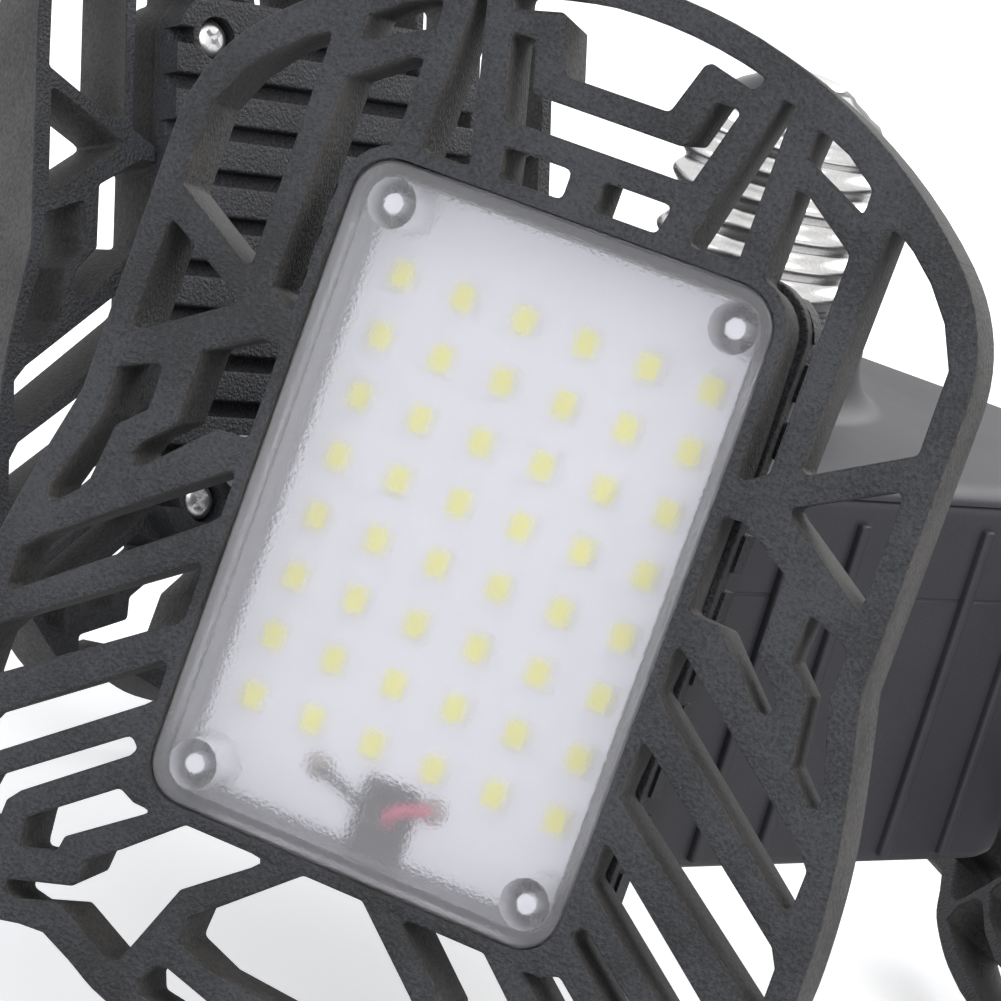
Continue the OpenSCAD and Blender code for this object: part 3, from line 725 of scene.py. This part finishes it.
def make_finishes():
    return {
        "wing_metal": finish(
            "wing_coat", (0.022, 0.023, 0.027), 0.55,
            grain=1.0, grain_size=0.45, depth=0.45, shade=0.5, specular=0.35,
        ),
        # The lattice's walls get a lighter copy of the wing coat: painted light, for the side light that falls on
        # them
        "wing_wall_painted_lit": finish(
            "wing_wall_painted_light", (0.05, 0.048, 0.047), 0.7,
            grain=1.0, grain_size=0.55, depth=0.25, shade=0.4, specular=0.35,
        ),
        "housing_plastic": finish(
            "housing_satin", (0.028, 0.028, 0.034), 0.5, grain=0.15, grain_size=0.3, specular=0.35
        ),
        "cover_plastic": finish("cover_satin", (0.026, 0.026, 0.03), 0.5, grain=0.3, grain_size=0.35),
        "hinge_metal": finish("hinge_coat", (0.03, 0.03, 0.034), 0.55, grain=0.5, shade=0.25),
        "cap_metal": finish("cap_nickel", (0.68, 0.675, 0.67), 0.26, metallic=1.0, grain=0.05, shade=0.05),
        "contact_metal": finish("contact_tin", (0.7, 0.69, 0.66), 0.32, metallic=1.0, grain=0.3, shade=0.1),
        "screw_steel": finish("screw_zinc", (0.78, 0.78, 0.79), 0.36, metallic=1.0, grain=0.1, shade=0.08),
        "insulator": finish("insulator_black", (0.015, 0.015, 0.018), 0.2, shade=0.2),
        "board_white": finish("board_mask", (0.86, 0.86, 0.88), 0.4, grain=0.05, shade=0.02),
        "led_yellow": finish("led_phosphor", (0.95, 0.92, 0.2), 0.5, grain=0.1, grain_size=0.2, shade=0.05),
        "led_body": finish("led_body", (0.88, 0.88, 0.86), 0.4, shade=0.03),
        "lens_frosted": frosted_lens(),
        "lens_post": finish("lens_post_milky", (0.86, 0.86, 0.9), 0.35, shade=0.02),
        "solder": finish("solder_joint", (0.34, 0.3, 0.26), 0.45, metallic=0.5, grain=0.2, shade=0.2),
        "lead_rubber": finish("lead_sleeve", (0.62, 0.06, 0.14), 0.45, shade=0.08),
        "grommet_rubber": finish("grommet_rubber", (0.02, 0.02, 0.02), 0.7, grain=0.3, shade=0.2),
        "washer_plastic": finish("washer_nylon", (0.5, 0.48, 0.42), 0.5, shade=0.06),
        "driver_board": finish("driver_mask", (0.03, 0.16, 0.07), 0.35, shade=0.15),
        "capacitor_sleeve": finish("capacitor_sleeve", (0.02, 0.022, 0.035), 0.3, shade=0.2),
        "transformer_tape": finish("transformer_tape", (0.62, 0.5, 0.06), 0.4, shade=0.1),
        "capacitor_film": finish("capacitor_dip", (0.32, 0.04, 0.03), 0.3, shade=0.12),
        "chip_plastic": finish("chip_plastic", (0.015, 0.015, 0.016), 0.5, grain=0.2, shade=0.2),
    }


def paint_cad_nodes():
    """Gives the CAD's nodes their finishes: the hidden ones are shown as they are."""
    for part in frame["record"]["subparts"]:
        node = frame["nodes"][part["node"]]
        node.data.materials.clear()
        node.data.materials.append(PAINTS[part["material_slot"]])


# ---- Wing ----

def pocket(low, high):
    """The hollow that holds the board and the lens."""
    return plate(round_box(POCKET_W, POCKET_L, LENS_R + 0.2), [], low, high, "pocket", 0)


def wing_lattice():
    """The open web round the tray: its walls draw in towards the back, like a casting's."""
    front = [(FACE, 0.28), (FACE - 0.08, 0.1), (FACE - 0.26, 0.0)]
    walls = front + [(LATTICE_BACK + 0.2, DRAFT), (LATTICE_BACK, DRAFT + 0.2)]
    outside = front + [(LATTICE_BACK + 0.2, 0.2), (LATTICE_BACK, 0.4)]
    lattice = layered(wing_outline(), wing_openings(), outside, walls, "lattice", 0.8)
    return cut(lattice, pocket(LATTICE_BACK - 1, FACE + 1))


def ear(side):
    """An ear of the hinge, drawn round the bolt and turned to stand on the pad."""
    outline = [(-EAR_R, 5.2)] + arc((0, 0), EAR_R, 180, 360, 24) + [(EAR_R, 5.2)]
    shape = plate(outline, [circle((0, 0), EAR_BORE_R)], 0, EAR_W, "ear", 0.3)
    place = Matrix(((0, 0, side, side * EAR_IN * MM), (1, 0, 0, 0), (0, 1, 0, 0), (0, 0, 0, 1)))
    shape.data.transform(shift(0, -LENS_UP, 0) @ place)
    if side < 0:
        shape.data.flip_normals()
    return shape


def wing_block():
    """The tray that holds the board and the lens, with fins, screw bosses and ears on its back."""
    tray_plan = round_box(TRAY_W + 0.2, TRAY_L + 0.2, TRAY_R + 0.1)
    tray = plate(tray_plan, [], FLOOR, LATTICE_BACK + 1.4, "tray", 0.5)
    count = int((TRAY_L + FIN_GAP) / FIN_PITCH)
    fins = []
    for i in range(count):
        fin = plate(round_box(60, FIN_PITCH - FIN_GAP, 0.4, 1), [], FINS, FLOOR + 1.2, "fin", 0.4)
        fin.data.transform(shift(0, (i - (count - 1) / 2) * FIN_PITCH, 0))
        fins.append(fin)
    bars = joined(fins, "fins")
    edge = plate(round_box(TRAY_W + 1, TRAY_L, TRAY_R + 0.5), [], FINS - 1, FLOOR + 2, "fin_edge", 0)
    add(tray, combine(bars, edge, "INTERSECT"))
    for x, y in CORNERS:
        add(tray, round_bar(BOSS_R, FINS, FLOOR + 0.5, (x * POST[0], y * POST[1])))
    pad = plate(round_box(34, 12.8, 1.5), [], FINS, FLOOR + 0.5, "pad", 0.3)
    pad.data.transform(shift(0, -LENS_UP, 0))
    add(tray, pad, ear(-1), ear(1))
    cut(tray, pocket(BOARD, FACE + 2))
    for x, y in CORNERS:
        at = (x * POST[0], y * POST[1])
        cut(tray, rod(SCREW_SEAT_R, FINS - 1, FINS + SCREW_SEAT, at), rod(1.15, FINS, BOARD + 1, at, 24))
    return cut(tray, rod(LEAD_HOLE_R, FINS - 1, BOARD + 1, (0, LEAD_Y)))


def wing_frame():
    casting = add(wing_lattice(), wing_block())
    for slot in ("wing_metal", "wing_wall_painted_lit"):
        casting.data.materials.append(PAINTS[slot])
    # Side walls above the tray's back take the lighter copy of the coat: painted light on the walls
    for face in casting.data.polygons:
        is_painted_lit_wall = abs(face.normal.z) < 0.5 and face.center.z / MM > LATTICE_BACK
        face.material_index = int(is_painted_lit_wall)
    return smooth(casting, 40)


def lens_piece():
    lens = plate(round_box(LENS_W, LENS_L, LENS_R, 10), [], LEDS + 0.4, LENS_TOP, "lens", 0.55)
    inside = round_box(LENS_W - 2 * LENS_WALL, LENS_L - 2 * LENS_WALL, LENS_R - LENS_WALL)
    cut(lens, plate(inside, [], LEDS - 1, LENS_TOP - LENS_WALL, "hollow", 0.4))
    for x, y in CORNERS:
        at = (x * POST[0], y * POST[1])
        add(lens, rod(POST_R, BOARD, LENS_TOP - 1.2, at, 40))
        cut(lens, rod(1.1, BOARD - 1, LENS_TOP - 2.6, at, 32))
    for slot in ("lens_frosted", "lens_post"):
        lens.data.materials.append(PAINTS[slot])
    for face in lens.data.polygons:
        middle = face.center / MM
        reach = Vector((abs(middle.x) - POST[0], abs(middle.y) - POST[1])).length
        face.material_index = int(reach < POST_R + 0.1 and middle.z < LENS_TOP - 1.7)
    return smooth(lens, 40)


def led_board():
    """The board, cut away round the lens's posts and for the leads."""
    board = plate(round_box(BOARD_W, BOARD_L, 2), [], BOARD, LEDS, "board", 0.1)
    for x, y in CORNERS:
        cut(board, plate(circle((x * POST[0], y * POST[1]), 3.0), [], BOARD - 1, LEDS + 1, "corner", 0))
        cut(board, box((6, 6, 6), (x * (POST[0] + 3), y * (POST[1] + 3), BOARD)))
    notch = rounded([(-3.5, -36), (3.5, -36), (3.5, -27), (-3.5, -27)], 1.2)
    cut(board, plate(notch, [], BOARD - 1, LEDS + 1, "notch", 0))
    board.data.materials.append(PAINTS["board_white"])
    return smooth(board, 40)


def led_chips():
    body = box(LED_SIZE, (0, 0, LEDS + LED_SIZE[2] / 2))
    chamfer(body, 0.12)
    body.data.materials.append(PAINTS["led_body"])
    glow = plate(round_box(*LED_GLOW, 0.5, 3), [], LEDS + 0.75, LEDS + 0.86, "glow", 0.05)
    glow.data.materials.append(PAINTS["led_yellow"])
    chip = joined([body, glow], "chip")
    chips = []
    cols, rows = LED_GRID
    for i in range(cols):
        for j in range(rows):
            x = (i - (cols - 1) / 2) * LED_PITCH[0]
            y = (j - (rows - 1) / 2) * LED_PITCH[1] + LED_UP
            chips.append(copied(chip, shift(x, y, 0)))
    bpy.data.objects.remove(chip)
    return joined(chips, "leds")


def tube(points, r, name):
    """A round lead along a smooth line of points."""
    curve = bpy.data.curves.new(name, "CURVE")
    curve.dimensions = "3D"
    spline = curve.splines.new("BEZIER")
    spline.bezier_points.add(len(points) - 1)
    for p, co in zip(spline.bezier_points, points):
        p.co = [v * MM for v in co]
        p.handle_left_type = p.handle_right_type = "AUTO"
    curve.bevel_depth = r * MM
    curve.bevel_resolution = 3
    curve.use_fill_caps = True
    curve.resolution_u = 8
    pick(new_object(name, curve))
    bpy.ops.object.convert(target="MESH")
    o = bpy.context.object
    edit(o)
    return smooth(weld(o), 60)


def board_leads():
    """A red and a black lead that rise through the grommet and end in the board's two solder joints."""
    rise = [(0.8, LEAD_Y, FINS + 0.6), (0.7, LEAD_Y + 0.3, BOARD + 2), (1.2, LEAD_Y + 1.4, LEDS + 1.5)]
    red = tube(rise + [(3.4, LEAD_Y + 2.7, LEDS + 1.4), (5.1, LEAD_Y + 3.2, LEDS + 0.5)], 0.75, "red_lead")
    red.data.materials.append(PAINTS["lead_rubber"])
    rise = [(-0.8, LEAD_Y, FINS + 0.6), (-1.0, LEAD_Y, BOARD + 1), (-2.9, LEAD_Y + 1.0, LEDS + 0.55)]
    dark = tube(rise + [(-6, LEAD_Y + 2.2, LEDS + 0.5), (-8.8, LEAD_Y + 3.1, LEDS + 0.5)], 0.5, "dark_lead")
    dark.data.materials.append(PAINTS["grommet_rubber"])
    blobs = []
    for x, y in ((5.1, LEAD_Y + 3.3), (-8.8, LEAD_Y + 3.1)):
        blob = turned([(0, 1.0), (0.5, 0.95), (1.0, 0.6), (1.5, 0.0), (0, 0.0)], "solder", 20)
        blob.data.transform(shift(x, y, LEDS))
        blob.data.materials.append(PAINTS["solder"])
        blobs.append(smooth(blob, 60))
    return joined([red, dark] + blobs, "board_leads")


def lens_screw():
    """A pan head screw with a cross recess, its head upwards and the underside of the head at zero."""
    head_r, head_h = SCREW_HEAD
    shank_r, shank = SCREW_SHANK
    section = [
        (0, head_h), (head_r * 0.55, head_h * 0.97), (head_r * 0.85, head_h * 0.78),
        (head_r, head_h * 0.35), (head_r * 0.98, 0), (shank_r, 0),
    ]
    for i in range(int(shank / SCREW_PITCH)):
        section += [(shank_r - 0.15, -SCREW_PITCH * i - 0.25), (shank_r, -SCREW_PITCH * i - 0.6)]
    section += [(shank_r * 0.5, -shank), (0, -shank)]
    o = turned(section, "lens_screw", 32)
    for turn in (20, 110):
        slot = box((head_r * 1.15, head_r * 0.26, head_h), (0, 0, head_h * 0.95))
        slot.data.transform(about_z(turn))
        cut(o, slot)
    cut(o, rod(head_r * 0.1, head_h * 0.3, head_h * 1.1, sides=12, r_top=head_r * 0.32))
    o.data.materials.append(PAINTS["screw_steel"])
    return smooth(o, 40)


def lens_screws():
    one = lens_screw()
    one.data.transform(Matrix.Rotation(math.pi, 4, "X"))
    screws = [
        copied(one, shift(x * POST[0], y * POST[1], FINS + SCREW_SEAT) @ about_z(25 * x + 40 * y))
        for x, y in CORNERS
    ]
    bpy.data.objects.remove(one)
    return joined(screws, "lens_screws")


def hinge_bolt():
    reach = EAR_IN + EAR_W
    shank = 2 * reach + 4.0
    section = [
        (0, -BOLT_HEAD_H), (2.6, -BOLT_HEAD_H), (3.2, -2.2), (3.55, -1.7), (BOLT_HEAD_R, -1.1),
        (BOLT_HEAD_R, -0.15), (3.45, 0.0), (BOLT_R, 0.0), (BOLT_R, shank),
        (BOLT_R - 0.4, shank + 0.4), (0, shank + 0.4),
    ]
    bolt = turned(section, "hinge_bolt", 48)
    cut(bolt, rod(1.5, -3.4, -1.0, sides=6))
    bolt.data.transform(shift(-reach, 0, 0) @ ALONG_X)
    bolt.data.materials.append(PAINTS["screw_steel"])
    return smooth(bolt, 35)


def hinge_nut():
    nut = rod(NUT_R, 0, NUT_T, sides=6)
    section = [(0, 0), (3.5, 0), (4.05, 0.35), (4.05, NUT_T - 0.35), (3.5, NUT_T), (0, NUT_T)]
    combine(nut, turned(section, "nut_chamfer", 48), "INTERSECT")
    cut(nut, rod(BOLT_BORE_R, -1, 5, sides=32))
    nut.data.transform(shift(EAR_IN + EAR_W, 0, 0) @ ALONG_X)
    nut.data.materials.append(PAINTS["screw_steel"])
    return smooth(nut, 30)


def to_bolt(o):
    """Moves a piece that was drawn round the lens's middle, so that the hinge bolt is at the origin."""
    o.data.transform(shift(0, LENS_UP, 0))
    return o


def wing_place(joint, turn):
    """Where a wing's flat model goes at rest: its joint's lower limit is level."""
    fold = -joint["range_deg"][0]
    flat = Matrix.Rotation(math.radians(180 - fold), 4, "X")
    return about_z(turn) @ shift(0, -HINGE_R, HINGE_Z) @ flat


def make_wings():
    models = [
        (to_bolt(wing_frame()), "wing_frame", "wing_metal"),
        (to_bolt(lens_piece()), "lens", "lens_frosted"),
        (to_bolt(led_board()), "led_board", "board_white"),
        (to_bolt(led_chips()), "leds", "led_yellow"),
        (to_bolt(board_leads()), "board_leads", "lead_rubber"),
        (to_bolt(lens_screws()), "lens_screws", "screw_steel"),
        (hinge_bolt(), "hinge_bolt", "screw_steel"),
        (hinge_nut(), "hinge_nut", "screw_steel"),
    ]
    joints = {j["child"]: j for j in frame["joints"]}
    for wing, turn in zip(WINGS, TURNS):
        body = "wing_" + wing
        place = wing_place(joints[body], turn)
        for model, node, slot in models:
            finish_piece(copied(model, place), f"{node}_{wing}", body)
    for model, node, slot in models:
        bpy.data.objects.remove(model)


# ---- Housing and cap ----

def housing_body():
    top = PARTING - 0.1
    skin = [
        (top, 0.75), (top - 0.25, 0.42), (top - 1.1, 0.0),
        (BODY_LINE + 0.25, 0.0), (BODY_LINE + 0.1, 0.14), (BODY_LINE - 0.1, 0.14), (BODY_LINE - 0.25, 0.0),
        (BODY_BOTTOM + 1.6, 0.0), (BODY_BOTTOM + 0.8, 0.22), (BODY_BOTTOM + 0.25, 0.75),
        (BODY_BOTTOM, 1.35),
    ]
    hollow = [(z, 0.0) for z, inset in skin]
    body = layered(housing_plan(0), [housing_plan(WALL)], skin, hollow, "housing_body")
    for turn in TURNS:
        window = box((ARM_W + 0.6, 12, ARM_T + 0.6), (0, -FLAT_OUT, HINGE_Z))
        window.data.transform(about_z(turn))
        cut(body, window)
    hub_top = HUB_Z + HUB_T
    for turn in SIDES:
        for i in (-2, -1, 0, 1, 2):
            plan = round_box(RIB_W, 2 * (RIB_OUT + RIB_SINK), 0.45, 3)
            rib = plate(plan, [], RIB_BOTTOM, RIB_TOP, "rib", 0.35)
            rib.data.transform(about_z(turn) @ shift(i * RIB_PITCH, -FLAT_IN + RIB_SINK, 0))
            add(body, rib)
        post = rod(DRIVER_POST_R, hub_top, DRIVER_Z, (0, -DRIVER_POST_AT), 32)
        add(post, box((3, 6.6, DRIVER_Z - hub_top), (0, -FLAT_IN + 4.5, (DRIVER_Z + hub_top) / 2)))
        cut(post, rod(1.4, HUB_Z, DRIVER_Z + 2, (0, -DRIVER_POST_AT), 24))
        post.data.transform(about_z(turn))
        add(body, post)
    finish_in_housing(body, "housing_body", "housing_plastic", 32)


def housing_top():
    """The shoulder and the neck, turned as one, on a top with the body's plan and a lip inside it."""
    rim = [(1.8, 4.0), (1.66, 2.6), (1.3, 1.3), (0.85, 0.5), (0.4, 0.12), (0.0, 0.0)]
    top = layered(housing_plan(0.3), [], [(PARTING + up, inset) for up, inset in rim], [], "housing_top")
    cut(top, rod(WELL_R, PARTING - 1, PARTING + 3, sides=128))
    rise = [(SHOULDER_R + 14, 1.7), (SHOULDER_R + 8, 1.85), (SHOULDER_R + 3.4, 2.05)]
    for i in range(13):
        a = math.radians(i * 7.5)
        rise.append((SHOULDER_R + 0.6 - 5.0 * math.sin(a), 2.3 + 6.8 * (1 - math.cos(a))))
    rise += [
        (16.3, 10.2), (15.95, 10.85), (NECK_R - 0.1, NECK_H), (SLEEVE_R, NECK_H),
        (SLEEVE_R, NECK_H + SLEEVE_H), (SLEEVE_BORE_R, NECK_H + SLEEVE_H), (SLEEVE_BORE_R, 6.4),
        (WELL_R, 2.0), (WELL_R, 0.3), (SHOULDER_R + 14, 0.3), (SHOULDER_R + 14, 1.6),
    ]
    neck = turned([(r, PARTING + up) for r, up in rise + rise[:1]], "neck", 128)
    lip_layers = [(PARTING + 0.4, 0), (PARTING - 2, 0)]
    lip = layered(housing_plan(WALL + 0.1), [housing_plan(WALL + 1.6)], lip_layers, lip_layers, "lip")
    add(top, neck, lip)
    finish_in_housing(top, "housing_top", "housing_plastic", 32)


def screw_shell():
    """Rolled sheet: a wave that climbs by one pitch a turn, a lip turned in at the top and a plain foot."""
    root = THREAD_R - THREAD_DEPTH
    inner = root - SHELL_SHEET
    lip = 1.3
    steps = 144
    rows = 150
    bm = bmesh.new()
    rings = []

    def ring(radius, z):
        rings.append([
            bm.verts.new((
                radius(i / steps) * math.cos(2 * math.pi * i / steps) * MM,
                radius(i / steps) * math.sin(2 * math.pi * i / steps) * MM,
                z * MM,
            ))
            for i in range(steps)
        ])

    def thread(turn, z):
        phase = (z - THREAD_PHASE) / THREAD_PITCH - (turn - THREAD_FACING / 360)
        wave = 0.5 + 0.5 * math.cos(2 * math.pi * phase)
        fade = min(1, max(0, (z - SHELL_BOTTOM - 1.6) / 2.4), max(0, (SHELL_TOP - 1.6 - z) / 1.6))
        return root + THREAD_DEPTH * 0.98 * wave ** 0.85 * fade

    for row in range(rows + 1):
        z = SHELL_BOTTOM + (SHELL_TOP - lip - SHELL_BOTTOM) * row / rows
        ring(lambda turn, z=z: thread(turn, z), z)
    for a in (22, 45, 68, 90):
        bend = math.radians(a)
        outer = root - lip + lip * math.cos(bend)
        ring(lambda turn, outer=outer: outer, SHELL_TOP - lip + lip * math.sin(bend))
    for inset, z in (
        (1.2, SHELL_TOP), (1.2, SHELL_TOP - SHELL_SHEET), (0.9, SHELL_TOP - SHELL_SHEET),
        (0, SHELL_TOP - lip), (0, SHELL_BOTTOM),
    ):
        ring(lambda turn, inset=inset: inner - inset, z)
    for lower, upper in zip(rings, rings[1:] + rings[:1]):
        for i in range(steps):
            j = (i + 1) % steps
            bm.faces.new((lower[i], lower[j], upper[j], upper[i]))
    finish_in_housing(closed_shape(bm, "screw_shell"), "screw_shell", "cap_metal", 50)


def insulator_and_contact():
    cone = [
        (0, -6.8), (9.9, -6.8), (9.9, -5.0), (10.6, -5.0), (10.7, -4.6), (10.3, -4.1), (8.9, -3.4),
        (8.3, -2.9), (6.6, -1.9), (6.1, -1.35), (5.4, -1.0), (0, -1.0),
    ]
    finish_in_housing(turned(cone, "insulator"), "shell_insulator", "insulator", 40)
    dome = [(0, -1.0), (4.75, -1.0), (4.8, -0.8), (4.7, -0.6)]
    for a in range(10, 91, 10):
        dome.append((4.6 * math.cos(math.radians(a)), -0.6 + 0.6 * math.sin(math.radians(a))))
    finish_in_housing(turned(dome, "contact", 64), "centre_contact", "contact_metal", 40)


def hinge_base():
    """The hub, with three grooved arms that end in the hinges' knuckles."""
    bore_plan = circle((0, 0), HUB_BORE_R, 64)
    hub = plate(circle((0, 0), HUB_R, 96), [bore_plan], HUB_Z, HUB_Z + HUB_T, "hub", 0.4)
    at_bolt = shift(0, -HINGE_R, HINGE_Z) @ ALONG_X
    for turn in TURNS:
        arm = plate(round_box(ARM_W, HINGE_R - ARM_START, 0.6, 2), [], HUB_Z, HUB_Z + ARM_T, "arm", 0.5)
        arm.data.transform(shift(0, -(HINGE_R + ARM_START) / 2, 0))
        knuckle = round_bar(KNUCKLE_R, -ARM_W / 2, ARM_W / 2, edge=0.4)
        bore = rod(BOLT_BORE_R, -ARM_W, ARM_W, sides=40)
        for piece in (knuckle, bore):
            piece.data.transform(at_bolt)
        groove = box((4.8, HINGE_R - 19, 4), (0, -(HINGE_R + 5) / 2, HINGE_Z + ARM_T / 2 - 1))
        add(arm, knuckle)
        cut(arm, groove, bore)
        arm.data.transform(about_z(turn))
        add(hub, arm)
    cut(hub, rod(HUB_BORE_R, HUB_Z - 1, HUB_Z + ARM_T + 1, sides=64))
    for turn in SIDES:
        for r, at in ((1.5, DRIVER_POST_AT), (1.2, COVER_BOSS_AT)):
            hole = rod(r, HUB_Z - 1, HUB_Z + ARM_T, (0, -at), 24)
            hole.data.transform(about_z(turn))
            cut(hub, hole)
    finish_in_housing(hub, "hinge_base", "hinge_metal", 32)


def bottom_cover():
    cover = plate(housing_plan(WALL + 0.1), [], BODY_BOTTOM, BODY_BOTTOM + COVER_T, "bottom_cover", 0.35)
    for turn in SIDES:
        at = (0, -COVER_BOSS_AT)
        boss = rod(COVER_BOSS_R, BODY_BOTTOM + 1, HUB_Z, at, 32)
        hole = rod(1.3, BODY_BOTTOM - 1, HUB_Z + 1, at, 32)
        seat = rod(2.6, BODY_BOTTOM - 1, BODY_BOTTOM + 1.1, at, 32)
        for piece in (boss, hole, seat):
            piece.data.transform(about_z(turn))
        add(cover, boss)
        cut(cover, hole, seat)
    finish_in_housing(cover, "bottom_cover", "cover_plastic", 32)


def make_housing():
    housing_body()
    housing_top()
    screw_shell()
    insulator_and_contact()
    hinge_base()
    bottom_cover()


# ---- Build ----

add_camera()
add_studio()
add_floor()
PAINTS = make_finishes()
paint_cad_nodes()
make_housing()
make_wings()
